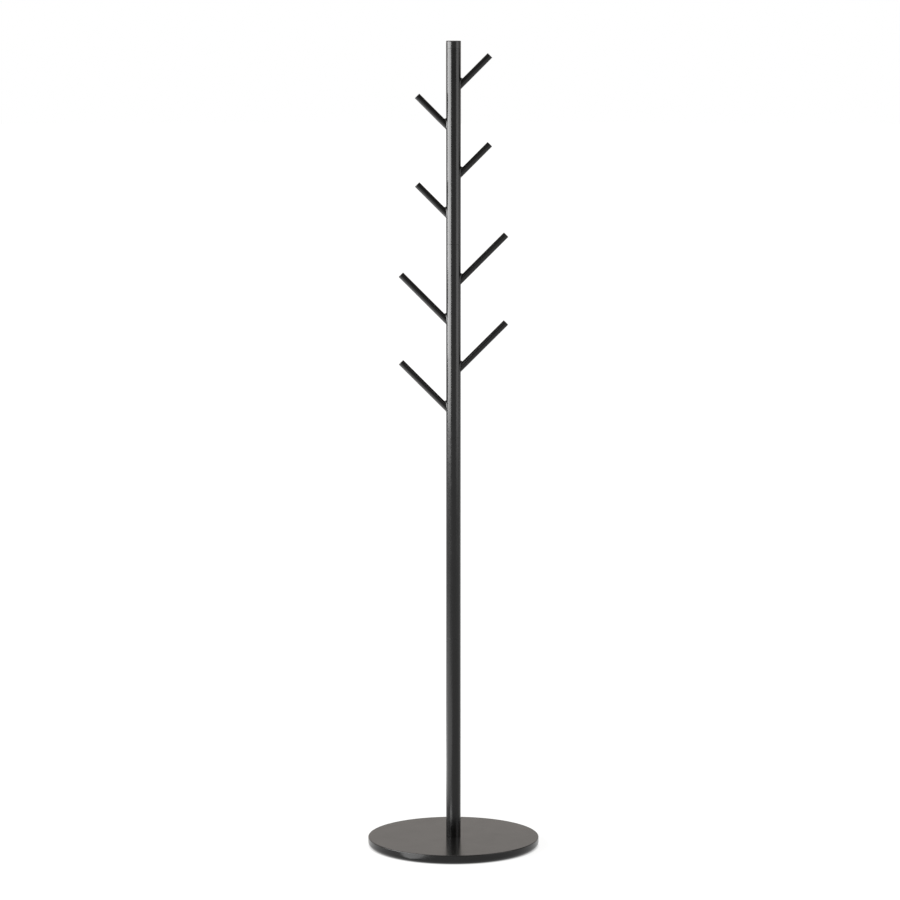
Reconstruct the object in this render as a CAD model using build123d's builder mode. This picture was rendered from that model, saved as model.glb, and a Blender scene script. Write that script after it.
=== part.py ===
from build123d import *
from math import cos, radians, tan
import os

# Standing coat rack: a weighted round base, a pole in four screwed lengths, and eight straight
# pegs welded at 45 degrees on its two sides. Millimetres, +Z up. The origin is the middle of the
# base on the floor, and the pegs lie in the XZ plane.

os.makedirs("parts", exist_ok=True)

# ---- driving dimensions -------------------------------------------------------------------
overall_height = 1760.0

# base
base_diameter = 375.0
base_height = 20.0           # floor to the top of the cover, pads included
cover_wall = 1.2
cover_top_fillet = 1.8
cover_roll_radius = 7.5      # outside radius of the rolled lower edge
cover_lip = 5.0              # flat lip inside the roll, which holds the bottom plate
bottom_plate_thickness = 1.0
bottom_plate_rim_gap = 1.0   # plate's rim to the start of the roll
pad_count = 6
pad_diameter = 22.0
pad_standout = 1.5           # how far the pads hold the lip off the floor
pad_circle_inset = 34.0      # pad centres, in from the rim
pad_edge = 0.4
tool_pocket_diameter = 64.0  # room for a socket around the bolt head

# fastening of the pole to the base
bolt_diameter = 10.0
bolt_length = 45.0           # under the head
bolt_head_flats = 16.0
bolt_head_height = 6.4
bolt_head_chamfer = 0.4      # in from the flats, on the face
bolt_head_chamfer_angle = 30.0
bolt_end_room = 4.0          # plug above the bolt's end
spring_washer_width = 4.0
spring_washer_thickness = 2.2
spring_washer_slit = 1.2
spring_washer_slant = 20.0   # degrees
flat_washer_diameter = 30.0
flat_washer_thickness = 2.5
clamp_disc_diameter = 58.0
clamp_disc_thickness = 3.0

# pole
pole_diameter = 32.0
pole_wall = 1.5
tube_edge = 0.25
joint_plug_length = 22.0
joint_stud_diameter = 12.0
joint_stud_length = 40.0
thread_lead_in = 0.8

# top cap
cap_head = 16.0
cap_edge = 1.6
cap_spigot = 14.0
cap_wall = 2.5

# pegs: heights are where a peg's centre line meets the pole's, within its pole section
peg_diameter = 14.0
short_peg = 111.0            # pole's centre line to the tip
long_peg = 161.0
peg_tip_edge = 0.5
peg_inner_end = 12.0         # pole's centre line to the end inside the tube
peg_angle = 45.0             # up from level
first_peg_below_joint = 93.5
peg_pitch = 190.0            # between pegs on one side
left_peg_drop = 86.5         # a left peg below its right one
last_peg_above_joint = 50.0
weld_radius = 2.4

# fits
press_gap = 0.02             # plug in tube
hole_gap = 0.15              # peg in its hole in the tube
thread_gap = 0.05            # threads are plain cylinders, bolt or stud in its plug
bolt_hole_gap = 0.5          # bolt through cover, disc and washers
ballast_gap = 0.8            # ballast to cover, all round

# ---- what follows from them ---------------------------------------------------------------
base_radius = base_diameter / 2
pole_radius = pole_diameter / 2
bore_radius = pole_radius - pole_wall
peg_radius = peg_diameter / 2
plug_radius = bore_radius - press_gap
bolt_hole_radius = bolt_diameter / 2 + bolt_hole_gap

lip_bottom = pad_standout
lip_top = lip_bottom + cover_wall
plate_top = lip_top + bottom_plate_thickness
cover_underside = base_height - cover_wall
roll_centre_r = base_radius - cover_roll_radius
roll_centre_z = lip_bottom + cover_roll_radius
inner_roll_radius = cover_roll_radius - cover_wall

tube_top = overall_height - cap_head
peg_section = first_peg_below_joint + left_peg_drop + peg_pitch + last_peg_above_joint
plain_section = (tube_top - base_height - 2 * peg_section) / 2
joint_1 = tube_top - peg_section
joint_2 = joint_1 - peg_section
joint_3 = joint_2 - plain_section
section_tops = [tube_top, joint_1, joint_2, joint_3]
section_bottoms = [joint_1, joint_2, joint_3, base_height]


def peg_plane(height, side):
    """Plane square to a peg's centre line, its origin on the pole's. side is 1 right, -1 left."""
    lift = Vector(side, 0, 0).rotate(Axis.Y, -side * peg_angle)
    return Plane(origin=(0, 0, height), x_dir=(0, 1, 0), z_dir=lift)


def peg_places(section):
    """Name ending, height and side of the four pegs of section 1 or 2, top down."""
    places = []
    for pair in range(2):
        number = 2 * section - 1 + pair
        right = section_tops[section - 1] - first_peg_below_joint - pair * peg_pitch
        places += [(f"right_{number}", right, 1), (f"left_{number}", right - left_peg_drop, -1)]
    return places


def write(piece, name):
    """Labels a finished piece and writes it as its own node."""
    piece.part.label = name
    export_step(piece.part, f"parts/{name}.step")


# ---- base ---------------------------------------------------------------------------------
# Spun steel dish: flat top, straight wall, lower edge rolled in to a flat lip.
with BuildPart() as base_cover:
    with BuildSketch(Plane.XZ):
        with BuildLine():
            outer = Polyline(
                (bolt_hole_radius, base_height),
                (base_radius - cover_top_fillet, base_height),
            )
            top_bend = RadiusArc(outer @ 1, (base_radius, base_height - cover_top_fillet), cover_top_fillet)
            wall = Line(top_bend @ 1, (base_radius, roll_centre_z))
            roll = RadiusArc(wall @ 1, (roll_centre_r, lip_bottom), cover_roll_radius)
            Polyline(
                roll @ 1,
                (roll_centre_r - cover_lip, lip_bottom),
                (roll_centre_r - cover_lip, lip_top),
                (roll_centre_r, lip_top),
            )
            inner_roll = RadiusArc(
                (roll_centre_r, lip_top), (base_radius - cover_wall, roll_centre_z), -inner_roll_radius
            )
            Polyline(
                inner_roll @ 1,
                (base_radius - cover_wall, cover_underside),
                (bolt_hole_radius, cover_underside),
                (bolt_hole_radius, base_height),
            )
        make_face()
    revolve(axis=Axis.Z)
write(base_cover, "base_cover")

# Cast ballast: fills the dish, its lower corner cut back to clear the roll.
ballast_radius = base_radius - cover_wall - ballast_gap
ballast_corner = cover_roll_radius
with BuildPart() as base_ballast:
    with BuildSketch(Plane.XZ):
        Polygon(
            (tool_pocket_diameter / 2, plate_top),
            (ballast_radius - ballast_corner, plate_top),
            (ballast_radius, plate_top + ballast_corner),
            (ballast_radius, cover_underside),
            (tool_pocket_diameter / 2, cover_underside),
            align=None,
        )
    revolve(axis=Axis.Z)
write(base_ballast, "base_ballast")

# Bottom plate: a sheet ring that lies on the lip, open in the middle for the tool.
with BuildPart() as bottom_plate:
    with BuildSketch(Plane.XY.offset(lip_top)):
        Circle(roll_centre_r - bottom_plate_rim_gap)
        Circle(tool_pocket_diameter / 2, mode=Mode.SUBTRACT)
    extrude(amount=bottom_plate_thickness)
write(bottom_plate, "bottom_plate")

# Pads: rubber discs stuck to the bottom plate.
with BuildPart() as floor_pads:
    with BuildSketch(Plane.XY):
        with PolarLocations(base_radius - pad_circle_inset, pad_count):
            Circle(pad_diameter / 2)
    extrude(amount=lip_top)
    chamfer(floor_pads.faces().filter_by(Axis.Z).group_by(Axis.Z)[0].edges(), pad_edge)
write(floor_pads, "floor_pads")

# ---- fastening stack, from the cover down ---------------------------------------------------
disc_bottom = cover_underside - clamp_disc_thickness
washer_bottom = disc_bottom - flat_washer_thickness
spring_bottom = washer_bottom - spring_washer_thickness
head_bottom = spring_bottom - bolt_head_height

with BuildPart() as clamp_disc:
    with BuildSketch(Plane.XY.offset(disc_bottom)):
        Circle(clamp_disc_diameter / 2)
        Circle(bolt_hole_radius, mode=Mode.SUBTRACT)
    extrude(amount=clamp_disc_thickness)
write(clamp_disc, "clamp_disc")

with BuildPart() as flat_washer:
    with BuildSketch(Plane.XY.offset(washer_bottom)):
        Circle(flat_washer_diameter / 2)
        Circle(bolt_hole_radius, mode=Mode.SUBTRACT)
    extrude(amount=flat_washer_thickness)
write(flat_washer, "flat_washer")

# Split spring washer, drawn flat, as it is under a tight bolt.
spring_outer = bolt_diameter / 2 + spring_washer_width
slit_middle = (spring_outer - spring_washer_width / 2, 0, spring_bottom + spring_washer_thickness / 2)
with BuildPart() as spring_washer:
    with BuildSketch(Plane.XY.offset(spring_bottom)):
        Circle(spring_outer)
        Circle(bolt_diameter / 2 + thread_gap, mode=Mode.SUBTRACT)
    extrude(amount=spring_washer_thickness)
    with Locations(Location(slit_middle, (spring_washer_slant, 0, 0))):
        Box(2 * spring_washer_width, spring_washer_slit, 3 * spring_washer_thickness, mode=Mode.SUBTRACT)
write(spring_washer, "spring_washer")

# Hex bolt, up from below. Its thread is a plain cylinder of the thread's outside size.
head_corner = bolt_head_flats / 2 / cos(radians(30))
head_face = bolt_head_flats / 2 - bolt_head_chamfer
head_slope = (head_corner - head_face) * tan(radians(bolt_head_chamfer_angle))
with BuildPart() as base_bolt:
    with BuildSketch(Plane.XY.offset(head_bottom)):
        RegularPolygon(radius=bolt_head_flats / 2, side_count=6, major_radius=False)
    extrude(amount=bolt_head_height)
    with BuildSketch(Plane.XZ):
        Polygon(
            (0, head_bottom),
            (head_face, head_bottom),
            (head_corner, head_bottom + head_slope),
            (head_corner, spring_bottom),
            (0, spring_bottom),
            align=None,
        )
    revolve(axis=Axis.Z, mode=Mode.INTERSECT)
    with BuildSketch(Plane.XY.offset(spring_bottom)):
        Circle(bolt_diameter / 2)
    extrude(amount=bolt_length)
    chamfer(base_bolt.faces().sort_by(Axis.Z)[-1].edges(), thread_lead_in)
write(base_bolt, "base_bolt")

# Foot plug: turned steel, pressed into the pole's lower end, threaded for the bolt.
with BuildPart() as foot_plug:
    with BuildSketch(Plane.XY.offset(base_height)):
        Circle(plug_radius)
        Circle(bolt_diameter / 2 + thread_gap, mode=Mode.SUBTRACT)
    extrude(amount=spring_bottom + bolt_length + bolt_end_room - base_height)
write(foot_plug, "foot_plug")

# ---- pole -----------------------------------------------------------------------------------
# Four lengths of tube, numbered from the top. The upper two are drilled for the pegs.
for number, (top, bottom) in enumerate(zip(section_tops, section_bottoms), start=1):
    with BuildPart() as section:
        with BuildSketch(Plane.XY.offset(bottom)):
            Circle(pole_radius)
        extrude(amount=top - bottom)
        chamfer(section.edges().filter_by(GeomType.CIRCLE), tube_edge)
        with BuildSketch(Plane.XY.offset(bottom)):
            Circle(bore_radius)
        extrude(amount=top - bottom, mode=Mode.SUBTRACT)
        if number <= 2:
            for _, height, side in peg_places(number):
                with BuildSketch(peg_plane(height, side).offset(peg_inner_end - 1)):
                    Circle(peg_radius + hole_gap)
                extrude(amount=2 * pole_diameter, mode=Mode.SUBTRACT)
    write(section, f"pole_section_{number}")

# Section joints: a threaded plug in each tube end, and a stud across.
for number, joint in enumerate([joint_1, joint_2, joint_3], start=1):
    for place, start in (("upper", joint), ("lower", joint - joint_plug_length)):
        with BuildPart() as plug:
            with BuildSketch(Plane.XY.offset(start)):
                Circle(plug_radius)
                Circle(joint_stud_diameter / 2 + thread_gap, mode=Mode.SUBTRACT)
            extrude(amount=joint_plug_length)
        write(plug, f"joint_{number}_{place}_plug")
    with BuildPart() as stud:
        with BuildSketch(Plane.XY.offset(joint - joint_stud_length / 2)):
            Circle(joint_stud_diameter / 2)
        extrude(amount=joint_stud_length)
        chamfer(stud.edges().filter_by(GeomType.CIRCLE), thread_lead_in)
    write(stud, f"joint_{number}_stud")

# Top cap: moulded, hollow underneath, its spigot pushed into the top tube.
with BuildPart() as top_cap:
    with BuildSketch(Plane.XY.offset(tube_top)):
        Circle(pole_radius)
    extrude(amount=cap_head)
    fillet(top_cap.faces().sort_by(Axis.Z)[-1].edges(), cap_edge)
    chamfer(top_cap.faces().sort_by(Axis.Z)[0].edges(), tube_edge)
    with BuildSketch(Plane.XY.offset(tube_top - cap_spigot)):
        Circle(plug_radius)
    extrude(amount=cap_spigot)
    chamfer(top_cap.faces().sort_by(Axis.Z)[0].edges(), tube_edge)
    with BuildSketch(Plane.XY.offset(tube_top - cap_spigot)):
        Circle(plug_radius - cap_wall)
    extrude(amount=cap_spigot + cap_head - cap_wall, mode=Mode.SUBTRACT)
write(top_cap, "top_cap")

# ---- pegs and their welds ---------------------------------------------------------------------
# The shape of one weld bead: the fillet between a stub of pole and a stub of peg, both cut away.
stub = 3 * pole_diameter
with BuildPart() as bead_shape:
    with BuildSketch(Plane.XY.offset(-stub / 2)):
        Circle(pole_radius)
    extrude(amount=stub)
    with BuildSketch(peg_plane(0, 1)):
        Circle(peg_radius)
    extrude(amount=stub)
    plain_edges = bead_shape.edges().filter_by(GeomType.CIRCLE) + bead_shape.edges().filter_by(GeomType.LINE)
    fillet(bead_shape.edges() - plain_edges, weld_radius)
    with BuildSketch(Plane.XY.offset(-stub)):
        Circle(pole_radius)
    extrude(amount=2 * stub, mode=Mode.SUBTRACT)
    with BuildSketch(peg_plane(0, 1)):
        Circle(peg_radius)
    extrude(amount=2 * stub, mode=Mode.SUBTRACT)

# Pegs: round bar through the tube wall, tips cut square, each with its bead. They are numbered
# from the top on each side. The upper section's are short and the lower one's are long.
for section_number, length in ((1, short_peg), (2, long_peg)):
    for place, height, side in peg_places(section_number):
        with BuildPart() as peg:
            with BuildSketch(peg_plane(height, side).offset(peg_inner_end)):
                Circle(peg_radius)
            extrude(amount=length - peg_inner_end)
            fillet(peg.faces().sort_by(Axis.Z)[-1].edges(), peg_tip_edge)
        write(peg, f"peg_{place}")
        with BuildPart() as weld_bead:
            with Locations(Location((0, 0, height), (0, 0, 90 - 90 * side))):
                add(bead_shape.part)
        write(weld_bead, f"weld_bead_{place}")
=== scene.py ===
"""Looks of a standing coat rack: weighted round base, pole in four screwed lengths, eight straight pegs.

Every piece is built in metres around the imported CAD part, where the frame's own boxes say it is.
"""

import math

import bmesh
import bpy
from bpy.props import FloatProperty, FloatVectorProperty, IntProperty, PointerProperty
from mathutils import Matrix, Vector


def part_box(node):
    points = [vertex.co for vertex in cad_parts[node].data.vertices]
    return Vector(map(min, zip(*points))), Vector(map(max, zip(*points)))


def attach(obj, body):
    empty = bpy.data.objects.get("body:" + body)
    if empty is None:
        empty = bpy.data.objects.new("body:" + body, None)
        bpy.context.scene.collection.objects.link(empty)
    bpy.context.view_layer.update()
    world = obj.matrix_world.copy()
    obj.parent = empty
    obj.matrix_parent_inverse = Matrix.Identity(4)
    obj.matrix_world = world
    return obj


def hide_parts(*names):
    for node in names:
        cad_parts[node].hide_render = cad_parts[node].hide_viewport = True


bl_info = {
    "name": "Standing Coat Rack",
    "version": (1, 0, 0),
    "blender": (4, 5, 0),
    "location": "View3D > Sidebar > Coat Rack",
    "description": "Builds a black steel coat rack with a round base around its CAD frame",
    "category": "Object",
}

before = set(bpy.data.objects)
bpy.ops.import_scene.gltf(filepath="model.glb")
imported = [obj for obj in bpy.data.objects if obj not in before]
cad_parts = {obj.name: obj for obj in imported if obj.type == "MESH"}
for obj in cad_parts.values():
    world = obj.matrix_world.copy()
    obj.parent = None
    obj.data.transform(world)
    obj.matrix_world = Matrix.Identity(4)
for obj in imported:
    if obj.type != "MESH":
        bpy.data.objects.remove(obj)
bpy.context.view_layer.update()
BODY = "root"
MM = 0.001
BOLT_CLEARANCE = 0.5 * MM  # all round, where the bolt passes through a washer or the cover
TOUCHING = 1e-7  # closer than this is one point
CREASE = 35  # degrees between two faces, above which their edge stays sharp
WAVE_BAND = math.tau / 20  # a wave texture of scale 1 repeats at this length


def snap(value):
    """A length to the nearest twentieth of a millimetre.

    The facets of a round CAD part stop a little short of its true size, and this makes up for that.
    """
    return round(value / MM * 20) / 20 * MM


def span(node):
    """Lowest and highest corner of a CAD node, snapped."""
    low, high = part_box(node)
    return Vector([snap(v) for v in low]), Vector([snap(v) for v in high])


def peg_line(node):
    """Where a right-hand peg's line meets the pole's, and its inner end and tip along its own line."""
    low, high = span(node)
    radius = (high.y - low.y) / 2
    return snap(high.z - high.x), low.x * math.sqrt(2) + radius, high.x * math.sqrt(2) - radius


COVER_LOW, COVER_HIGH = span("base_cover")
PLATE_LOW, PLATE_HIGH = span("bottom_plate")
PADS_HIGH = span("floor_pads")[1]
PEG_LOW, PEG_HIGH = span("peg_right_1")
TUBE_HIGH = span("pole_section_1")[1]
TOP_PEG, PEG_START, SHORT_TIP = peg_line("peg_right_1")
LOW_PEG, _, LONG_TIP = peg_line("peg_right_3")
SECOND_PEG = peg_line("peg_right_2")[0]
LEFT_PEG = span("peg_left_1")[1].z + span("peg_left_1")[0].x


def linear(code):
    """An sRGB hex colour as linear RGB."""
    channels = [int(code[i : i + 2], 16) / 255 for i in (1, 3, 5)]
    return [c / 12.92 if c <= 0.04045 else ((c + 0.055) / 1.055) ** 2.4 for c in channels]


def colour(name, code, text):
    """A colour the user may change."""
    return FloatVectorProperty(
        name=name, description=text, subtype="COLOR", size=3, min=0, max=1, default=linear(code)
    )


def length(name, value, text):
    """A length the user may change, in metres."""
    return FloatProperty(name=name, description=text, default=value, min=0, unit="LENGTH", precision=5)


# ---- what a user would change ---------------------------------------------------------------


class CoatRackSizes(bpy.types.PropertyGroup):
    """Sizes of the rack's pieces. Those with a place in the CAD frame start from it."""

    pole_diameter: length("Pole diameter", snap(2 * TUBE_HIGH.x), "Outside of the pole's tube")
    pole_wall: length("Pole wall", 1.5 * MM, "Thickness of the pole's tube")
    tube_edge: length("Tube edge", 0.25 * MM, "Broken edge at each end of a tube")
    peg_diameter: length("Peg diameter", PEG_HIGH.y - PEG_LOW.y, "Round bar of the pegs")
    short_peg: length("Short pegs", SHORT_TIP, "Pole's centre line to the tip, upper four pegs")
    long_peg: length("Long pegs", LONG_TIP, "Pole's centre line to the tip, lower four pegs")
    peg_start: length("Peg start", PEG_START, "Pole's centre line to the end inside the tube")
    peg_pitch: length("Peg pitch", TOP_PEG - SECOND_PEG, "Between pegs on one side of the pole")
    left_drop: length("Left drop", TOP_PEG - LEFT_PEG, "How far a left peg stands below its right one")
    peg_lean: FloatProperty(
        name="Peg lean", description="Pegs' angle from upright", subtype="ANGLE", default=math.radians(45),
    )
    tip_edge: length("Tip edge", 0.5 * MM, "Rounding round a peg's square-cut tip")
    weld_bead: length("Weld bead", 2.4 * MM, "Radius of the bead round a peg's root")
    sheet: length("Cover sheet", 1.2 * MM, "Thickness of the spun cover")
    top_edge: length("Top edge", 1.8 * MM, "Radius round the cover's top")
    rolled_edge: length("Rolled edge", 7.5 * MM, "Outside radius of the cover's rolled lower edge")
    lip: length("Lip", 5 * MM, "Flat part of the cover's rolled edge, under the bottom plate")
    tool_pocket: length("Tool pocket", 64 * MM, "Hole under the base through which the bolt is reached")
    pad_count: IntProperty(name="Floor pads", description="Rubber pads under the base", default=6, min=3)
    pad_diameter: length("Pad diameter", 22 * MM, "Across one rubber pad")
    cap_edge: length("Cap edge", 1.6 * MM, "Radius round the top cap")
    bolt_diameter: length("Base bolt", 10 * MM, "Thread diameter of the bolt that holds the pole")
    stud_diameter: length("Joint studs", 12 * MM, "Thread diameter of the studs between pole sections")


class CoatRackFinishes(bpy.types.PropertyGroup):
    """Colours and gloss of the rack's finishes."""

    powder: colour("Powder coat", "#080808", "Black polyester powder coat on the pole, pegs and cover")
    powder_gloss: FloatProperty(
        name="Powder roughness", description="Roughness of the powder coat", subtype="FACTOR",
        default=0.2, min=0, max=1,
    )
    cap: colour("Cap", "#0c0c0c", "Moulded plastic of the top cap")
    plate: colour("Bottom plate", "#1f2022", "Dip paint on the bottom plate")
    zinc: colour("Zinc plate", "#c3c7cb", "Plated bolt, washers, studs and clamp disc")
    steel: colour("Turned steel", "#a9a59e", "Bare steel of the plugs inside the pole")
    cement: colour("Ballast", "#a29e96", "Cast cement inside the base")
    rubber: colour("Pads", "#232222", "Rubber of the floor pads")


class CoatRackStage(bpy.types.PropertyGroup):
    """Studio round the rack."""

    floor: colour("Floor", "#4e4d4c", "Matt part of the pale floor, which also glows")
    air: colour("Surround colour", "#fff8f2", "Tint of the even light all round")
    front: FloatProperty(
        name="Front", description="Strength of the dim light from the camera's side", default=0.27, min=0
    )
    back: FloatProperty(
        name="Back", description="Strength of the light from the backdrop's side", default=0.7, min=0
    )
    left_light: FloatProperty(
        name="Left softbox", description="Power of the tall softbox", subtype="POWER", default=192, min=0
    )
    low_light: FloatProperty(
        name="Bounce board", description="Power of the board on the floor at the left", subtype="POWER",
        default=36, min=0,
    )
    floor_light: FloatProperty(
        name="Floor card", description="Power of the small bright card beside the base", subtype="POWER",
        default=0.5, min=0,
    )
    right_light: FloatProperty(
        name="Right softbox", description="Power of the weaker one", subtype="POWER", default=56, min=0
    )
    top_light: FloatProperty(
        name="Top softbox", description="Power of the light overhead", subtype="POWER", default=60, min=0
    )


# ---- materials ------------------------------------------------------------------------------


def add(tree, kind, inputs=None, **settings):
    """Adds a node. Settings are its own properties. An input is linked if it is a socket, else set."""
    made = tree.nodes.new(kind)
    for key, value in settings.items():
        setattr(made, key, value)
    for key, value in (inputs or {}).items():
        if isinstance(value, bpy.types.NodeSocket):
            tree.links.new(value, made.inputs[key])
        else:
            made.inputs[key].default_value = value
    return made


def calculator(tree):
    """A function that adds a sum to a tree."""

    def calc(operation, *values):
        return add(tree, "ShaderNodeMath", dict(enumerate(values)), operation=operation).outputs[0]

    return calc


def blank(owner):
    """The emptied shader tree of a material or a world."""
    owner.use_nodes = True
    owner.node_tree.nodes.clear()
    return owner.node_tree


def finish(name, roughness, metallic=0.0, ior=1.5):
    """A material, its tree, its principled shader and the object coordinates.

    If the material was made before, the other three are None.
    """
    if name in bpy.data.materials:
        return bpy.data.materials[name], None, None, None
    made = bpy.data.materials.new(name)
    tree = blank(made)
    shader = add(
        tree, "ShaderNodeBsdfPrincipled", {"Roughness": roughness, "Metallic": metallic, "IOR": ior}
    )
    add(tree, "ShaderNodeOutputMaterial", {"Surface": shader.outputs[0]})
    place = add(tree, "ShaderNodeTexCoord").outputs["Object"]
    return made, tree, shader, place


def two_tone(tree, factor, first, second):
    """Mixes two linear colours by a factor."""
    return add(
        tree, "ShaderNodeMix", {0: factor, 6: [*first, 1], 7: [*second, 1]}, data_type="RGBA"
    ).outputs[2]


def noise(tree, place, size, detail=2.0, roughness=0.5):
    """Noise whose lumps are about size metres across."""
    return add(
        tree, "ShaderNodeTexNoise",
        {"Vector": place, "Scale": 1 / size, "Detail": detail, "Roughness": roughness},
    ).outputs["Fac"]


def cells(tree, place, size):
    """Distance from the middle of scattered cells about size metres across."""
    return add(tree, "ShaderNodeTexVoronoi", {"Vector": place, "Scale": 1 / size}).outputs["Distance"]


def spread(tree, value, low, high, start=0.3, end=0.7):
    """Maps noise between start and end to low and high."""
    return add(tree, "ShaderNodeMapRange", {0: value, 1: start, 2: end, 3: low, 4: high}).outputs[0]


def bump(tree, height, depth, before=None):
    """Relief of depth metres, on top of an earlier one."""
    inputs = {"Strength": 1.0, "Distance": depth, "Height": height}
    if before:
        inputs["Normal"] = before
    return add(tree, "ShaderNodeBump", inputs).outputs[0]


def shade(tint, factor):
    """A linear colour made lighter or darker."""
    return [min(1.0, c * factor) for c in tint]


def dress(tree, shader, tone, roughness, relief):
    """Links a finish's colour, roughness and relief to its shader."""
    for socket, value in (("Base Color", tone), ("Roughness", roughness), ("Normal", relief)):
        tree.links.new(value, shader.inputs[socket])


def powder_coat(looks):
    """Semi-gloss black polyester powder coat, baked on steel.

    The eye gets a deep black with soft-edged highlights, broken by orange peel about 2 mm across and a few
    microns deep, a finer grain of powder that hasn't flowed out, and patches a little duller where hands and
    dust have been.
    """
    gloss = looks.powder_gloss
    made, tree, shader, place = finish("powder_coated_steel_semi_gloss_black", gloss, ior=1.36)
    if not tree:
        return made
    handled = noise(tree, place, 55 * MM, 3.0, 0.6)
    peel = noise(tree, place, 2.2 * MM, 1.0)
    grain = noise(tree, place, 0.35 * MM, 1.0)
    tint = list(looks.powder)
    tone = two_tone(tree, spread(tree, handled, 0, 1), shade(tint, 0.85), shade(tint, 1.25))
    dull = spread(tree, handled, gloss * 0.88, gloss * 1.15)
    relief = bump(tree, grain, 0.0006 * MM, bump(tree, peel, 0.0048 * MM))
    dress(tree, shader, tone, dull, relief)
    return made


def cap_plastic(looks):
    """ABS, moulded against a lightly spark-eroded tool.

    A shade softer than the powder coat beside it: an even satin black with a pebble about 0.3 mm across.
    """
    made, tree, shader, place = finish("abs_moulded_satin_black", 0.27, ior=1.38)
    if not tree:
        return made
    pebble = noise(tree, place, 0.3 * MM, 2.0)
    cloud = noise(tree, place, 9 * MM, 2.0)
    tint = list(looks.cap)
    tone = two_tone(tree, spread(tree, cloud, 0, 1), shade(tint, 0.9), shade(tint, 1.15))
    dress(tree, shader, tone, spread(tree, pebble, 0.24, 0.3), bump(tree, pebble, 0.0015 * MM))
    return made


def plate_paint(looks):
    """Thin black dip paint on cold-rolled sheet.

    Dull, and thin enough for the sheet's rolling lines to show through one way, with a few rubbed patches.
    """
    made, tree, shader, place = finish("dip_painted_sheet_steel_dull_black", 0.5, ior=1.5)
    if not tree:
        return made
    # rolling lines are under 0.2 mm apart on real sheet, drawn at 1.2 mm so that they show
    drawn_out = add(tree, "ShaderNodeMapping", {"Vector": place, "Scale": (0.03, 1, 1)}).outputs[0]
    lines = noise(tree, drawn_out, 1.2 * MM, 2.0)
    rubbed = noise(tree, place, 32 * MM, 4.0, 0.65)
    tint = list(looks.plate)
    tone = two_tone(tree, spread(tree, rubbed, 0, 1, 0.35, 0.75), tint, shade(tint, 1.9))
    dress(tree, shader, tone, spread(tree, rubbed, 0.56, 0.4), bump(tree, lines, 0.006 * MM))
    return made


def zinc_plate(looks):
    """Bright zinc plate with a blue passivate, on pressed and rolled steel.

    A cool, slightly cloudy metal: fine crystal flecks half a millimetre across, duller where tarnished.
    """
    made, tree, shader, place = finish("zinc_plated_steel_blue_passivate", 0.3, metallic=1.0)
    if not tree:
        return made
    flecks = cells(tree, place, 0.5 * MM)
    tarnish = noise(tree, place, 6 * MM, 3.0, 0.6)
    red, green, blue = looks.zinc
    tone = two_tone(tree, spread(tree, tarnish, 0, 1), looks.zinc, [red * 0.82, green * 0.8, blue * 0.74])
    dress(tree, shader, tone, spread(tree, tarnish, 0.24, 0.42), bump(tree, flecks, 0.006 * MM))
    return made


def turned_steel(looks):
    """Mild steel turned on a lathe and left bare with a film of oil.

    Tool marks run round the plug. The real feed is about 0.15 mm, drawn at 0.4 mm so that it shows.
    """
    made, tree, shader, place = finish("turned_mild_steel_oiled", 0.35, metallic=1.0)
    if not tree:
        return made
    marks = {"Vector": place, "Scale": WAVE_BAND / (0.4 * MM), "Distortion": 0.4}
    feed = add(tree, "ShaderNodeTexWave", marks, bands_direction="Z").outputs["Fac"]
    oil = noise(tree, place, 8 * MM, 3.0)
    red, green, blue = looks.steel
    tone = two_tone(tree, spread(tree, oil, 0, 1), looks.steel, [red * 0.75, green * 0.7, blue * 0.62])
    dress(tree, shader, tone, spread(tree, oil, 0.26, 0.44), bump(tree, feed, 0.01 * MM))
    return made


def cast_cement(looks):
    """Cement mortar cast in the cover.

    Matt, light grey and blotchy, with sand grains under a millimetre and open air pores of 1 to 2 mm, their
    insides darkened in colour as painted shade.
    """
    made, tree, shader, place = finish("cast_cement_mortar", 0.9, ior=1.5)
    if not tree:
        return made
    blotch = noise(tree, place, 24 * MM, 5.0, 0.6)
    sand = noise(tree, place, 0.8 * MM, 3.0, 0.7)
    pores = spread(tree, cells(tree, place, 3.5 * MM), 0, 1, 0.08, 0.2)
    tint = list(looks.cement)
    body = two_tone(tree, spread(tree, blotch, 0, 1), shade(tint, 0.72), shade(tint, 1.12))
    # painted shade: the pores' insides are painted dark in colour, on top of their bump
    painted_pore_shade = {0: pores, 6: [*shade(tint, 0.3), 1], 7: body}
    tone = add(tree, "ShaderNodeMix", painted_pore_shade, data_type="RGBA").outputs[2]
    relief = bump(tree, sand, 0.12 * MM, bump(tree, pores, 0.5 * MM))
    dress(tree, shader, tone, spread(tree, sand, 0.82, 0.95), relief)
    return made


def pad_rubber(looks):
    """Black rubber, moulded as stick-on pads.

    Matt and slightly grey with bloom, with a fine cloth-like tool texture and dust caught in it.
    """
    made, tree, shader, place = finish("moulded_rubber_matt_black", 0.72, ior=1.52)
    if not tree:
        return made
    bloom = noise(tree, place, 5 * MM, 4.0, 0.6)
    grit = noise(tree, place, 0.4 * MM, 2.0)
    tint = list(looks.rubber)
    tone = two_tone(tree, spread(tree, bloom, 0, 1), tint, shade(tint, 1.8))
    dress(tree, shader, tone, spread(tree, bloom, 0.65, 0.82), bump(tree, grit, 0.03 * MM))
    return made


# ---- mesh tools -----------------------------------------------------------------------------


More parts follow.
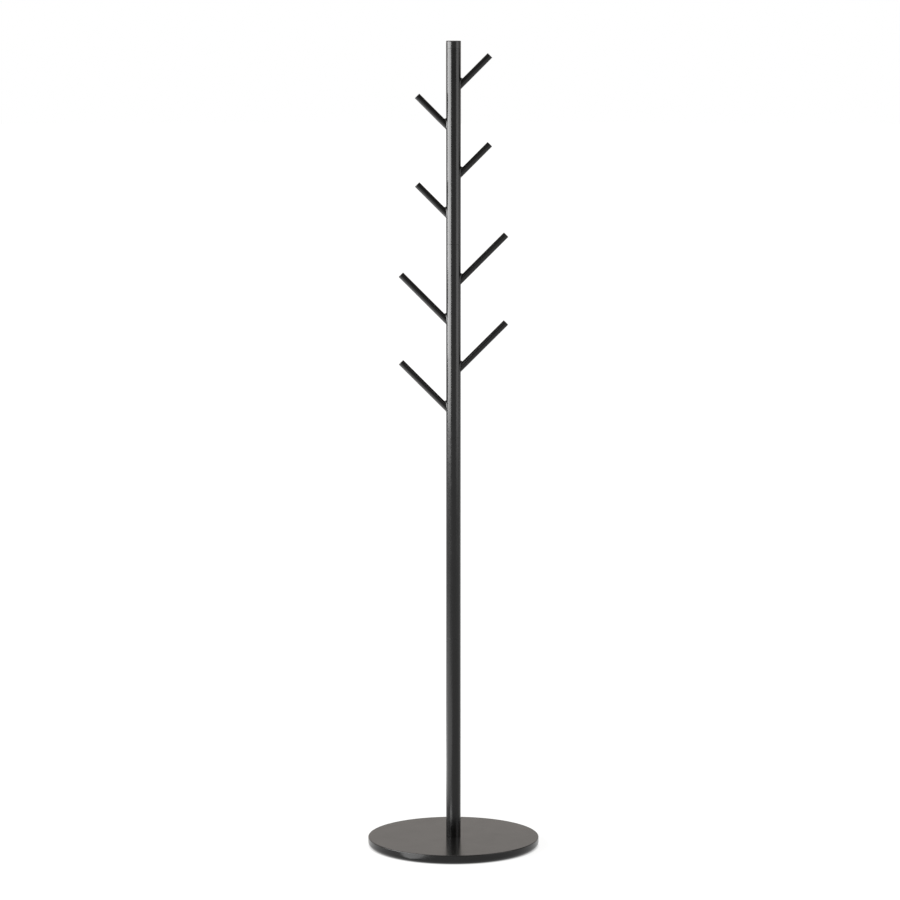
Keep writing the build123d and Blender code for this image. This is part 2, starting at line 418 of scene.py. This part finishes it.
def outline(corners, steps=6, hold=0.3 * MM):
    """Points round a closed section from its corners, (radius, height, rounding) each.

    A rounded corner becomes an arc. One point is held just before and one just after it, so that the flats
    beside it stay flat in the light.
    """
    points = []
    count = len(corners)
    for i, (r, z, rounding) in enumerate(corners):
        corner = Vector((r, z))
        if rounding <= 0:
            points.append(corner)
            continue
        before = Vector(corners[i - 1][:2]) - corner
        after = Vector(corners[(i + 1) % count][:2]) - corner
        leg_1, leg_2 = before.length, after.length
        before.normalize()
        after.normalize()
        half = before.angle(after) / 2
        reach = rounding / math.tan(half)
        centre = corner + (before + after).normalized() * (rounding / math.sin(half))
        start = corner + before * reach - centre
        turn = start.angle_signed(corner + after * reach - centre)
        if leg_1 > 2 * (reach + hold):
            points.append(corner + before * (reach + hold))
        for step in range(steps + 1):
            points.append(centre + Matrix.Rotation(-turn * step / steps, 2) @ start)
        if leg_2 > 2 * (reach + hold):
            points.append(corner + after * (reach + hold))
    return points


def polar(radius, angle, height):
    """A point round Z."""
    return radius * math.cos(angle), radius * math.sin(angle), height


def skin(mesh, ring, following):
    """Faces between two closed rings of as many vertices. A vertex that repeats counts once."""
    for k in range(len(ring)):
        n = (k + 1) % len(ring)
        corners = list(dict.fromkeys([ring[k], ring[n], following[n], following[k]]))
        if len(corners) > 2:
            mesh.faces.new(corners)


def stack(name, levels, crease):
    """A solid of closed rings of points, each joined to the next, with a flat face on the first and last."""
    mesh = bmesh.new()
    rings = [[mesh.verts.new(point) for point in level] for level in levels]
    for ring, following in zip(rings, rings[1:]):
        skin(mesh, ring, following)
    mesh.faces.new(rings[0])
    mesh.faces.new(rings[-1])
    return solid(name, mesh, crease)


def lathe(name, points, steps=128):
    """A closed solid of the section's points turned round Z. A point on the axis becomes one vertex."""
    mesh = bmesh.new()
    rings = []
    for r, z in points:
        if r < TOUCHING:
            rings.append([mesh.verts.new((0, 0, z))] * steps)
        else:
            rings.append([mesh.verts.new(polar(r, math.tau * k / steps, z)) for k in range(steps)])
    for ring, following in zip(rings, rings[1:] + rings[:1]):
        skin(mesh, ring, following)
    return solid(name, mesh)


def smooth(made, crease=CREASE):
    """Smooths a piece but for its edges over the crease angle."""
    made.data.shade_smooth()
    made.data.set_sharp_from_angle(angle=math.radians(crease))
    return made


def solid(name, mesh, crease=CREASE):
    """An object from a closed mesh, normals outwards."""
    bmesh.ops.remove_doubles(mesh, verts=mesh.verts, dist=TOUCHING)
    bmesh.ops.recalc_face_normals(mesh, faces=mesh.faces)
    data = bpy.data.meshes.new(name)
    mesh.to_mesh(data)
    mesh.free()
    made = bpy.data.objects.new(name, data)
    bpy.context.scene.collection.objects.link(made)
    return smooth(made, crease)


def plain(made):
    """The evaluated object as a plain mesh, its modifiers gone."""
    depsgraph = bpy.context.evaluated_depsgraph_get()
    depsgraph.update()
    baked = bpy.data.meshes.new_from_object(made.evaluated_get(depsgraph))
    old = made.data
    made.modifiers.clear()
    made.data = baked
    bpy.data.meshes.remove(old)
    baked.name = made.name
    return made


def fit(made, material, slot, *nodes):
    """Gives a finished piece its material, its body and the CAD nodes it stands for. The slot is not used."""
    if not made.data.polygons:
        raise RuntimeError(f"{made.name} came out empty")
    if material.name not in [m.name for m in made.data.materials if m]:
        made.data.materials.clear()
        made.data.materials.append(material)
    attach(made, BODY)
    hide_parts(*nodes)


def keep(material, *nodes):
    """Shows CAD nodes as they are, in a better material."""
    for node in nodes:
        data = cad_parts[node].data
        data.materials.clear()
        data.materials.append(material)


# ---- geometry node trees ----------------------------------------------------------------------


def new_tree(name, sizes):
    """A geometry tree that takes and gives a mesh, with named inputs for its sizes and its material."""
    tree = bpy.data.node_groups.new(name, "GeometryNodeTree")
    side = tree.interface
    side.new_socket("Geometry", in_out="INPUT", socket_type="NodeSocketGeometry")
    for label, kind in sizes:
        side.new_socket(label, in_out="INPUT", socket_type=kind)
    side.new_socket("Material", in_out="INPUT", socket_type="NodeSocketMaterial")
    side.new_socket("Geometry", in_out="OUTPUT", socket_type="NodeSocketGeometry")
    given = tree.nodes.new("NodeGroupInput").outputs
    return tree, given


def close_tree(tree, geometry, material):
    """Ends a tree: instances made real, the material set."""
    real = add(tree, "GeometryNodeRealizeInstances", {"Geometry": geometry})
    painted = add(tree, "GeometryNodeSetMaterial", {"Geometry": real.outputs[0], "Material": material})
    add(tree, "NodeGroupOutput", {0: painted.outputs[0]})
    return tree


def run_tree(made, tree, **values):
    """Puts a tree on an object and sets its inputs by their sockets' identifiers."""
    modifier = made.modifiers.new(tree.name, "NODES")
    modifier.node_group = tree
    for item in tree.interface.items_tree:
        if item.in_out == "INPUT" and item.name != "Geometry":
            modifier[item.identifier] = values[item.name.lower().replace(" ", "_")]
    return made


def bar_peg_tree():
    """One peg: a round bar on a leaning line, from inside the tube to a square tip with a rounded edge."""
    lengths = ["Bar Diameter", "Inner End", "Tip", "Tip Edge", "Lean"]
    tree, given = new_tree("Round Bar Peg", [(label, "NodeSocketFloat") for label in lengths])
    calc = calculator(tree)

    # ring 0 is the inner end, 1 holds the straight, 2 to 6 go round the tip's edge, 7 is on its face
    arc_steps, arc = 4, math.radians(89)
    held_back, face_inset = 1.0 * MM, 0.6 * MM
    ring = add(tree, "GeometryNodeInputIndex").outputs[0]
    step = calc("MINIMUM", calc("MAXIMUM", calc("SUBTRACT", ring, 2.0), 0.0), arc_steps)
    angle = calc("MULTIPLY", calc("DIVIDE", step, arc_steps), arc)
    edge = given["Tip Edge"]
    rise = calc("ADD", calc("SUBTRACT", given["Tip"], edge), calc("MULTIPLY", edge, calc("SINE", angle)))
    held = calc("SUBTRACT", rise, calc("MULTIPLY", calc("COMPARE", ring, 1.0, 0.1), held_back))
    last = calc("COMPARE", ring, arc_steps + 3, 0.1)
    topped = calc("ADD", held, calc("MULTIPLY", last, calc("SUBTRACT", given["Tip"], held)))
    first = calc("COMPARE", ring, 0.0, 0.1)
    along = calc("ADD", topped, calc("MULTIPLY", first, calc("SUBTRACT", given["Inner End"], topped)))
    radius = calc("MULTIPLY", given["Bar Diameter"], 0.5)
    drawn_in = calc("MULTIPLY", edge, calc("SUBTRACT", 1.0, calc("COSINE", angle)))
    width = calc("SUBTRACT", calc("SUBTRACT", radius, drawn_in), calc("MULTIPLY", last, face_inset))

    line = add(tree, "GeometryNodeCurvePrimitiveLine", {"End": (0, 0, 1)})
    rings = add(tree, "GeometryNodeResampleCurve", {"Curve": line.outputs[0], "Count": arc_steps + 4})
    spot = add(tree, "ShaderNodeCombineXYZ", {"Z": along})
    placed = add(tree, "GeometryNodeSetPosition", {"Geometry": rings.outputs[0], "Position": spot.outputs[0]})
    circle = add(tree, "GeometryNodeCurvePrimitiveCircle", {"Resolution": 64, "Radius": 1.0})
    bar = add(
        tree, "GeometryNodeCurveToMesh",
        {"Curve": placed.outputs[0], "Profile Curve": circle.outputs[0], "Scale": width, "Fill Caps": True},
    )
    lean = add(tree, "ShaderNodeCombineXYZ", {"Y": given["Lean"]})
    turn = add(tree, "FunctionNodeEulerToRotation", {"Euler": lean.outputs[0]})
    leaning = add(tree, "GeometryNodeTransform", {"Geometry": bar.outputs[0], "Rotation": turn.outputs[0]})
    return close_tree(tree, leaning.outputs[0], given["Material"])


def station_tree():
    """Sets a right-hand shape at its places on one pole section, each left one turned round and lower."""
    sizes = [(label, "NodeSocketFloat") for label in ("Highest", "Pitch", "Left Drop")]
    tree, given = new_tree("Stations On The Pole", sizes + [("Count", "NodeSocketInt")])
    calc = calculator(tree)

    number = add(tree, "GeometryNodeInputIndex").outputs[0]
    left = calc("MODULO", number, 2.0)
    pair = calc("FLOOR", calc("DIVIDE", number, 2.0))
    right_height = calc("SUBTRACT", given["Highest"], calc("MULTIPLY", pair, given["Pitch"]))
    height = calc("SUBTRACT", right_height, calc("MULTIPLY", left, given["Left Drop"]))
    spot = add(tree, "ShaderNodeCombineXYZ", {"Z": height})
    row = add(tree, "GeometryNodeMeshLine", {"Count": given["Count"], "Offset": (0, 0, 0)})
    places = add(tree, "GeometryNodeSetPosition", {"Geometry": row.outputs[0], "Position": spot.outputs[0]})
    spun = add(tree, "ShaderNodeCombineXYZ", {"Z": calc("MULTIPLY", left, math.pi)})
    turn = add(tree, "FunctionNodeEulerToRotation", {"Euler": spun.outputs[0]})
    copies = add(
        tree, "GeometryNodeInstanceOnPoints",
        {"Points": places.outputs[0], "Instance": given["Geometry"], "Rotation": turn.outputs[0]},
    )
    return close_tree(tree, copies.outputs[0], given["Material"])


def pad_ring_tree():
    """Sets a pad at even places round a circle."""
    tree, given = new_tree("Ring Of Pads", [("Ring Radius", "NodeSocketFloat"), ("Count", "NodeSocketInt")])
    ring = add(tree, "GeometryNodeMeshCircle", {"Vertices": given["Count"], "Radius": given["Ring Radius"]})
    copies = add(
        tree, "GeometryNodeInstanceOnPoints", {"Points": ring.outputs[0], "Instance": given["Geometry"]}
    )
    return close_tree(tree, copies.outputs[0], given["Material"])


# ---- pieces -----------------------------------------------------------------------------------


def ring_section(inner, outer, low, high, edge, steps):
    """Points round a rectangular section whose corners all have one rounding."""
    corners = ((inner, low), (outer, low), (outer, high), (inner, high))
    return outline([(r, z, edge) for r, z in corners], steps=steps)


def cut_round(made, cutter):
    """Cuts another object's shape out of a piece and removes the cutter."""
    modifier = made.modifiers.new("Drilled", "BOOLEAN")
    modifier.operation = "DIFFERENCE"
    modifier.solver = "EXACT"
    modifier.object = cutter
    plain(made)
    bpy.data.objects.remove(cutter)
    return smooth(made)


def drill(highest, sizes):
    """The four bars of air that drill one pole section for its pegs."""
    play, early, reach = 0.15 * MM, 1 * MM, 64 * MM
    radius = sizes.peg_diameter / 2 + play
    mesh = bmesh.new()
    for number in range(4):
        pair, left = divmod(number, 2)
        height = highest - pair * sizes.peg_pitch - left * sizes.left_drop
        place = (
            Matrix.Translation((0, 0, height))
            @ Matrix.Rotation(math.pi * left, 4, "Z")
            @ Matrix.Rotation(sizes.peg_lean, 4, "Y")
            @ Matrix.Translation((0, 0, sizes.peg_start - early + reach / 2))
        )
        bmesh.ops.create_cone(
            mesh, cap_ends=True, segments=64, radius1=radius, radius2=radius, depth=reach, matrix=place
        )
    return solid("drill", mesh)


def weld_bead(name, sizes):
    """A bead round a right-hand peg's root: a small fillet between bar and tube, rippled by its passes."""
    pole, bar, ball = sizes.pole_diameter / 2, sizes.peg_diameter / 2, sizes.weld_bead
    lean = sizes.peg_lean
    axis = Vector((math.sin(lean), 0, math.cos(lean)))
    up = Vector((-math.cos(lean), 0, math.sin(lean)))
    across = Vector((0, 1, 0))
    around, rise, sunk = 144, 8, 0.5 * MM
    ripple_count, ripple_depth, fullness = 40, 0.12, 0.3
    mesh = bmesh.new()
    rings = []
    for k in range(around):
        t = math.tau * k / around
        out = up * math.cos(t) + across * math.sin(t)

        def meet(from_pole, from_bar):
            """Point at those distances from the pole's and the bar's centre lines, in this direction."""
            y = from_bar * math.sin(t)
            x = math.sqrt(from_pole**2 - y**2)
            s = (x - from_bar * out.x) / axis.x
            return axis * s + out * from_bar

        centre = meet(pole + ball, bar + ball)
        flat = Vector((centre.x, centre.y, 0)).normalized()
        toe_bar, toe_pole = centre - out * ball, centre - flat * ball
        wave = math.sin(ripple_count * t + 1.7 * math.sin(3 * t))  # ripples of uneven length
        ring = []
        for step in range(rise + 1):
            share = step / rise
            chord = toe_bar.lerp(toe_pole, share)
            hollow = centre - out.slerp(flat, share) * ball
            lift = math.sin(math.pi * share)
            spot = hollow.lerp(chord, fullness + ripple_depth * wave * lift)
            ring.append(mesh.verts.new(spot))
        ring.append(mesh.verts.new(meet(pole - sunk, bar - sunk)))
        rings.append(ring)
    for ring, following in zip(rings, rings[1:] + rings[:1]):
        skin(mesh, ring, following)
    return solid(name, mesh, crease=60)


def threaded(name, radius, pitch, bottom, top, below=()):
    """A rod with a real thread between bottom and top, tapered at its free ends.

    below lists a plain shank under the thread, (radius, height) each.
    """
    around, per_turn = 48, 8
    depth, lead_in = 0.6 * pitch, 0.8 * MM
    steepness, sunk = 1.35, 0.18  # cut flat at both ends, so that crest and root have a small land
    rows = max(2, round((top - bottom) / pitch * per_turn))
    levels = [[polar(r, math.tau * k / around, z) for k in range(around)] for r, z in below]
    for row in range(rows + 1):
        z = bottom + (top - bottom) * row / rows
        free = top - z if below else min(top - z, z - bottom)
        limit = radius - max(0.0, lead_in - free)
        level = []
        for k in range(around):
            turn = ((z - bottom) / pitch - k / around) % 1.0
            crest = min(1.0, max(0.0, abs(2 * turn - 1) * steepness - sunk))
            level.append(polar(min(limit, radius - depth * (1 - crest)), math.tau * k / around, z))
        levels.append(level)
    return stack(name, levels, crease=50)


def hex_head(name, flats, bottom, top, chamfer):
    """A hexagon bolt head, its lower face turned to a disc, so that each corner ends in a curved chamfer."""
    steps, slope = 96, math.radians(30)
    apothem = flats / 2
    face = apothem - chamfer
    levels = [[] for _ in range(6)]
    for k in range(steps):
        angle = math.tau * k / steps
        side = apothem / math.cos(angle % math.radians(60) - math.radians(30))
        rows = (
            # a shallow turned dish in the lower face
            (face * 0.55, bottom + 0.25 * MM),
            (face * 0.62, bottom),
            (face, bottom),
            (side, bottom + (side - face) * math.tan(slope)),
            # a broken edge under the washer
            (side, top - 0.3 * MM),
            (side - 0.15 * MM, top),
        )
        for level, (radius, height) in zip(levels, rows):
            level.append(polar(radius, angle, height))
    return stack(name, levels, crease=25)


def split_ring(name, section, low, high):
    """A ring of the section's points with a slit in it, as on a spring washer, cut at a slant."""
    around, slit, slant = 90, math.radians(9.8), math.radians(6)
    middle = (low + high) / 2
    levels = []
    for k in range(around + 1):
        angle = slit / 2 + (math.tau - slit) * k / around
        lean = slant / (high - low) if k in (0, around) else 0.0
        levels.append([polar(r, angle - lean * (z - middle), z) for r, z in section])
    return stack(name, levels, CREASE)


def join(name, parts):
    """Several objects as one."""
    with bpy.context.temp_override(active_object=parts[0], selected_editable_objects=parts):
        bpy.ops.object.join()
    parts[0].name = parts[0].data.name = name
    return parts[0]


class COATRACK_OT_base_cover(bpy.types.Operator):
    """Builds the spun steel cover of the base: flat top, small top edge, rolled lower edge and its lip"""

    bl_idname = "coatrack.base_cover"
    bl_label = "Base Cover"

    def execute(self, context):
        sizes = context.scene.coat_rack_sizes
        rim, top, under = COVER_HIGH.x, COVER_HIGH.z, COVER_LOW.z
        bore = sizes.bolt_diameter / 2 + BOLT_CLEARANCE
        inner = rim - sizes.sheet
        lip_edge = rim - sizes.rolled_edge - sizes.lip
        section = outline(
            [
                (bore, top, 0.2 * MM),
                (rim, top, sizes.top_edge),
                (rim, under, sizes.rolled_edge),
                (lip_edge, under, 0.3 * MM),
                (lip_edge, under + sizes.sheet, 0.3 * MM),
                (inner, under + sizes.sheet, sizes.rolled_edge - sizes.sheet),
                (inner, top - sizes.sheet, sizes.top_edge - sizes.sheet),
                (bore, top - sizes.sheet, 0.1 * MM),
            ],
            steps=10,
        )
        cover = lathe("spun_cover", section, steps=256)
        fit(cover, powder_coat(context.scene.coat_rack_finishes), "black_powder_coat", "base_cover")
        return {"FINISHED"}


class COATRACK_OT_underside(bpy.types.Operator):
    """Builds what closes the base from below: the bottom plate, the ballast and the ring of rubber pads"""

    bl_idname = "coatrack.underside"
    bl_label = "Underside And Pads"

    def execute(self, context):
        sizes = context.scene.coat_rack_sizes
        looks = context.scene.coat_rack_finishes
        hole, rim, edge = sizes.tool_pocket / 2, PLATE_HIGH.x, 0.2 * MM
        section = ring_section(hole, rim, PLATE_LOW.z, PLATE_HIGH.z, edge, steps=3)
        plate = lathe("closing_plate", section, steps=192)
        fit(plate, plate_paint(looks), "bottom_plate_paint", "bottom_plate")

        keep(cast_cement(looks), "base_ballast")

        radius, top = sizes.pad_diameter / 2, PADS_HIGH.z
        # moulded with a shallow dish and one groove, so that it grips the floor
        dish, groove, edge = 0.35 * MM, 0.3 * MM, 0.1 * MM
        pad_section = outline(
            [
                (0, dish, 0),
                (radius * 0.30, dish, 0),
                (radius * 0.36, 0, edge),
                (radius * 0.62, 0, edge),
                (radius * 0.65, groove, 0),
                (radius * 0.71, groove, 0),
                (radius * 0.74, 0, edge),
                (radius, 0, 0.45 * MM),
                (radius, top, edge),
                (0, top, 0),
            ],
            steps=4, hold=0.2 * MM,
        )
        pads = lathe("floor_pad_ring", pad_section, steps=48)
        rubber = pad_rubber(looks)
        ring_radius = PADS_HIGH.x - radius
        run_tree(pads, pad_ring_tree(), ring_radius=ring_radius, count=sizes.pad_count, material=rubber)
        fit(plain(pads), rubber, "pad_rubber", "floor_pads")
        return {"FINISHED"}


class COATRACK_OT_base_fastening(bpy.types.Operator):
    """Builds the bolt that holds the pole, its washers and the clamp disc, and finishes the foot plug"""

    bl_idname = "coatrack.base_fastening"
    bl_label = "Base Fastening"

    def execute(self, context):
        sizes = context.scene.coat_rack_sizes
        looks = context.scene.coat_rack_finishes
        zinc = zinc_plate(looks)
        bolt = sizes.bolt_diameter / 2
        for name, node, edge in (
            ("clamping_disc", "clamp_disc", 0.3 * MM),
            ("plain_washer", "flat_washer", 0.35 * MM),
        ):
            low, high = span(node)
            section = ring_section(bolt + BOLT_CLEARANCE, high.x, low.z, high.z, edge, steps=4)
            fit(lathe(name, section, steps=96), zinc, "zinc_plated_steel", node)

        # split spring washer, pressed flat: a square-edged wire that stops short of a full turn
        low, high = span("spring_washer")
        section = ring_section(bolt + 0.05 * MM, high.y, low.z, high.z, 0.2 * MM, steps=3)
        washer = split_ring("split_washer", section, low.z, high.z)
        fit(washer, zinc, "zinc_plated_steel", "spring_washer")

        head_top = low.z
        low, high = span("base_bolt")
        flats, chamfer, pitch = 16 * MM, 0.4 * MM, 1.5 * MM
        sunk, plain_end, thread_start = 0.5 * MM, 7 * MM, 8 * MM
        shank = threaded(
            "base_bolt_thread", bolt, pitch, head_top + thread_start, high.z,
            below=[(bolt, head_top - sunk), (bolt, head_top + plain_end)],
        )
        head = hex_head("hex_head", flats, low.z, head_top, chamfer)
        fit(join("hex_bolt", [head, shank]), zinc, "zinc_plated_steel", "base_bolt")

        keep(turned_steel(looks), "foot_plug")
        return {"FINISHED"}


class COATRACK_OT_pole(bpy.types.Operator):
    """Builds the four lengths of tube, the upper two drilled for their pegs, and what joins them inside"""

    bl_idname = "coatrack.pole"
    bl_label = "Pole"

    def execute(self, context):
        sizes = context.scene.coat_rack_sizes
        looks = context.scene.coat_rack_finishes
        coat = powder_coat(looks)
        outside = sizes.pole_diameter / 2
        bore = outside - sizes.pole_wall
        for number, highest in ((1, TOP_PEG), (2, LOW_PEG), (3, None), (4, None)):
            low, high = span(f"pole_section_{number}")
            edge = sizes.tube_edge
            section = outline(
                [
                    (outside, low.z, edge), (outside, high.z, edge),
                    (bore, high.z, 0.1 * MM), (bore, low.z, 0.1 * MM),
                ],
                steps=3,
            )
            tube = lathe(f"pole_tube_{number}", section, steps=128)
            if highest is not None:
                cut_round(tube, drill(highest, sizes))
            fit(tube, coat, "black_powder_coat", f"pole_section_{number}")

        zinc = zinc_plate(looks)
        pitch = 1.75 * MM
        for number in (1, 2, 3):
            low, high = span(f"joint_{number}_stud")
            stud = threaded(f"threaded_stud_{number}", sizes.stud_diameter / 2, pitch, low.z, high.z)
            fit(stud, zinc, "zinc_plated_steel", f"joint_{number}_stud")
            keep(turned_steel(looks), f"joint_{number}_upper_plug", f"joint_{number}_lower_plug")
        return {"FINISHED"}


class COATRACK_OT_top_cap(bpy.types.Operator):
    """Builds the moulded cap that closes the pole's top, with its hollow spigot"""

    bl_idname = "coatrack.top_cap"
    bl_label = "Top Cap"

    def execute(self, context):
        sizes = context.scene.coat_rack_sizes
        low, high = span("top_cap")
        seat, wall, play = TUBE_HIGH.z, 2.5 * MM, 0.02 * MM
        outside = sizes.pole_diameter / 2
        spigot = outside - sizes.pole_wall - play
        section = outline(
            [
                (0, high.z, 0),
                (outside, high.z, sizes.cap_edge),
                (outside, seat, sizes.tube_edge),
                (spigot, seat, 0.1 * MM),
                (spigot, low.z, sizes.tube_edge),
                (spigot - wall, low.z, 0.2 * MM),
                (spigot - wall, high.z - wall, 0.5 * MM),
                (0, high.z - wall, 0),
            ],
            steps=8,
        )
        cap = lathe("moulded_cap", section, steps=128)
        fit(cap, cap_plastic(context.scene.coat_rack_finishes), "cap_plastic", "top_cap")
        return {"FINISHED"}


class COATRACK_OT_pegs(bpy.types.Operator):
    """Builds the eight bar pegs and the weld bead round each one's root, by section of the pole"""

    bl_idname = "coatrack.pegs"
    bl_label = "Pegs And Welds"

    def execute(self, context):
        sizes = context.scene.coat_rack_sizes
        coat = powder_coat(context.scene.coat_rack_finishes)
        peg_tree, stations = bar_peg_tree(), station_tree()
        for title, highest, tip, numbers in (
            ("short", TOP_PEG, sizes.short_peg, (1, 2)),
            ("long", LOW_PEG, sizes.long_peg, (3, 4)),
        ):
            run = {
                "highest": highest, "pitch": sizes.peg_pitch, "left_drop": sizes.left_drop,
                "count": 4, "material": coat,
            }
            endings = [f"{side}_{number}" for number in numbers for side in ("right", "left")]
            pegs = bpy.data.objects.new(f"bar_pegs_{title}", bpy.data.meshes.new(f"bar_pegs_{title}"))
            context.scene.collection.objects.link(pegs)
            run_tree(
                pegs, peg_tree, bar_diameter=sizes.peg_diameter, inner_end=sizes.peg_start, tip=tip,
                tip_edge=sizes.tip_edge, lean=sizes.peg_lean, material=coat,
            )
            run_tree(pegs, stations, **run)
            smooth(plain(pegs))
            fit(pegs, coat, "black_powder_coat", *[f"peg_{ending}" for ending in endings])

            beads = run_tree(weld_bead(f"weld_beads_{title}_pegs", sizes), stations, **run)
            plain(beads)
            fit(beads, coat, "black_powder_coat", *[f"weld_bead_{ending}" for ending in endings])
        return {"FINISHED"}


class COATRACK_OT_stage(bpy.types.Operator):
    """Sets up the pale floor, the backdrop, the soft studio lights and the camera"""

    bl_idname = "coatrack.stage"
    bl_label = "Stage"

    def execute(self, context):
        look = context.scene.coat_rack_stage
        scene = context.scene
        scene.view_settings.view_transform = "Standard"

        world = bpy.data.worlds.new("soft_surround")
        tree = blank(world)
        toward = add(tree, "ShaderNodeTexCoord").outputs["Generated"]
        depth = add(tree, "ShaderNodeSeparateXYZ", {0: toward}).outputs["Y"]
        strength = spread(tree, depth, look.front, look.back, -0.3, 0.5)
        sky = add(tree, "ShaderNodeBackground", {"Color": [*look.air, 1], "Strength": strength})
        add(tree, "ShaderNodeOutputWorld", {0: sky.outputs[0]})
        scene.world = world

        # floor: matt, and helped to an even white by a glow that starts under the base's rim and grows
        # where the lamps don't reach; a second glow, under the base's middle, shows its underside from below
        floor_paint = bpy.data.materials.new("studio_floor_white")
        tree = blank(floor_paint)
        matt = add(tree, "ShaderNodeBsdfDiffuse", {"Color": [*look.floor, 1]})
        place = add(tree, "ShaderNodeTexCoord").outputs["Object"]
        away = add(tree, "ShaderNodeVectorMath", {0: place}, operation="LENGTH").outputs["Value"]
        rim = COVER_HIGH.x
        near = spread(tree, away, 0.0, 0.92, rim - 11.5 * MM, rim + 1.5 * MM)
        far = spread(tree, away, 0.0, 0.12, 0.4, 3.0)
        beneath = spread(tree, away, 0.9, 0.0, rim - 29.5 * MM, rim - 21.5 * MM)
        calc = calculator(tree)
        strength = calc("ADD", calc("ADD", near, far), beneath)
        glow = add(tree, "ShaderNodeEmission", {"Color": (1, 1, 1, 1), "Strength": strength})
        both = add(tree, "ShaderNodeAddShader", {0: matt.outputs[0], 1: glow.outputs[0]})
        clear = add(tree, "ShaderNodeBsdfTransparent")
        under = add(tree, "ShaderNodeNewGeometry").outputs["Backfacing"]
        seen = add(tree, "ShaderNodeMixShader", {0: under, 1: both.outputs[0], 2: clear.outputs[0]})
        add(tree, "ShaderNodeOutputMaterial", {0: seen.outputs[0]})
        mesh = bmesh.new()
        bmesh.ops.create_circle(mesh, cap_ends=True, segments=96, radius=40)
        floor = solid("studio_floor", mesh)
        if floor.data.polygons[0].normal.z < 0:
            floor.data.flip_normals()
        floor.data.materials.append(floor_paint)

        # backdrop: a white dome that only the camera sees, far behind everything
        white = bpy.data.materials.new("studio_backdrop_white")
        tree = blank(white)
        lit = add(tree, "ShaderNodeEmission", {"Color": (1, 1, 1, 1), "Strength": 1.0})
        add(tree, "ShaderNodeOutputMaterial", {0: lit.outputs[0]})
        mesh = bmesh.new()
        bmesh.ops.create_icosphere(mesh, subdivisions=4, radius=45)
        dome = solid("studio_backdrop", mesh)
        dome.data.materials.append(white)
        dome.visible_diffuse = dome.visible_glossy = dome.visible_shadow = dome.visible_transmission = False

        def softbox(name, power, size, place, aim):
            """A flat lamp, not seen by the camera, at a place and turned to a point."""
            lamp = bpy.data.lights.new(name, "AREA")
            lamp.shape, lamp.size, lamp.size_y, lamp.energy = "RECTANGLE", size[0], size[1], power
            made = bpy.data.objects.new(name, lamp)
            scene.collection.objects.link(made)
            made.location = place
            made.rotation_euler = (Vector(aim) - Vector(place)).to_track_quat("-Z", "Y").to_euler()
            made.visible_camera = False
            return made

        def around(angle, distance, height):
            """A place round the rack: 0 is the camera's side, 90 the right."""
            a = math.radians(angle)
            return (distance * math.sin(a), -distance * math.cos(a), height)

        softbox("softbox_left", look.left_light, (2.5, 1.44), around(-72, 2.0, 1.43), (0, 0, 1.43))
        softbox("bounce_board", look.low_light, (2.5, 2.2), (-1.6, -0.3, 0.02), (-1.6, -0.3, 1.0))
        softbox("floor_card", look.floor_light, (0.2, 0.175), (-0.2, -0.2525, 0.002), (-0.2, -0.2525, 1.0))
        softbox("softbox_right", look.right_light, (2.4, 2.4), around(64, 3.0, 1.7), (0, 0, 1.7))
        softbox("softbox_top", look.top_light, (3.0, 3.0), (0, 0, 4.2), (0, 0, 0))

        lens = bpy.data.cameras.new("studio_camera")
        lens.lens, lens.sensor_width = 148.5, 36
        lens.clip_start, lens.clip_end = 0.1, 200
        camera = bpy.data.objects.new("studio_camera", lens)
        scene.collection.objects.link(camera)
        place, aim = Vector((-0.0075, -8.0, 1.9)), Vector((-0.0075, 0, 0.876))
        camera.location = place
        camera.rotation_euler = (aim - place).to_track_quat("-Z", "Y").to_euler()
        scene.camera = camera
        return {"FINISHED"}


STEPS = [
    COATRACK_OT_base_cover,
    COATRACK_OT_underside,
    COATRACK_OT_base_fastening,
    COATRACK_OT_pole,
    COATRACK_OT_top_cap,
    COATRACK_OT_pegs,
    COATRACK_OT_stage,
]


class COATRACK_PT_panel(bpy.types.Panel):
    """Lists the rack's steps and sizes in the sidebar"""

    bl_label = "Coat Rack"
    bl_idname = "COATRACK_PT_panel"
    bl_space_type = "VIEW_3D"
    bl_region_type = "UI"
    bl_category = "Coat Rack"

    def draw(self, context):
        for step in STEPS:
            self.layout.operator(step.bl_idname)
        for group in (
            context.scene.coat_rack_sizes,
            context.scene.coat_rack_finishes,
            context.scene.coat_rack_stage,
        ):
            box = self.layout.box()
            for name in group.bl_rna.properties.keys():
                if name not in ("rna_type", "name"):
                    box.prop(group, name)


GROUPS = {
    "coat_rack_sizes": CoatRackSizes,
    "coat_rack_finishes": CoatRackFinishes,
    "coat_rack_stage": CoatRackStage,
}
CLASSES = [*GROUPS.values(), *STEPS, COATRACK_PT_panel]


def register():
    for one in CLASSES:
        bpy.utils.register_class(one)
    for name, group in GROUPS.items():
        setattr(bpy.types.Scene, name, PointerProperty(type=group))


def unregister():
    for name in GROUPS:
        delattr(bpy.types.Scene, name)
    for one in reversed(CLASSES):
        bpy.utils.unregister_class(one)


def main():
    register()
    for step in STEPS:
        family, name = step.bl_idname.split(".")
        getattr(getattr(bpy.ops, family), name)()


if __name__ == "__main__":
    main()
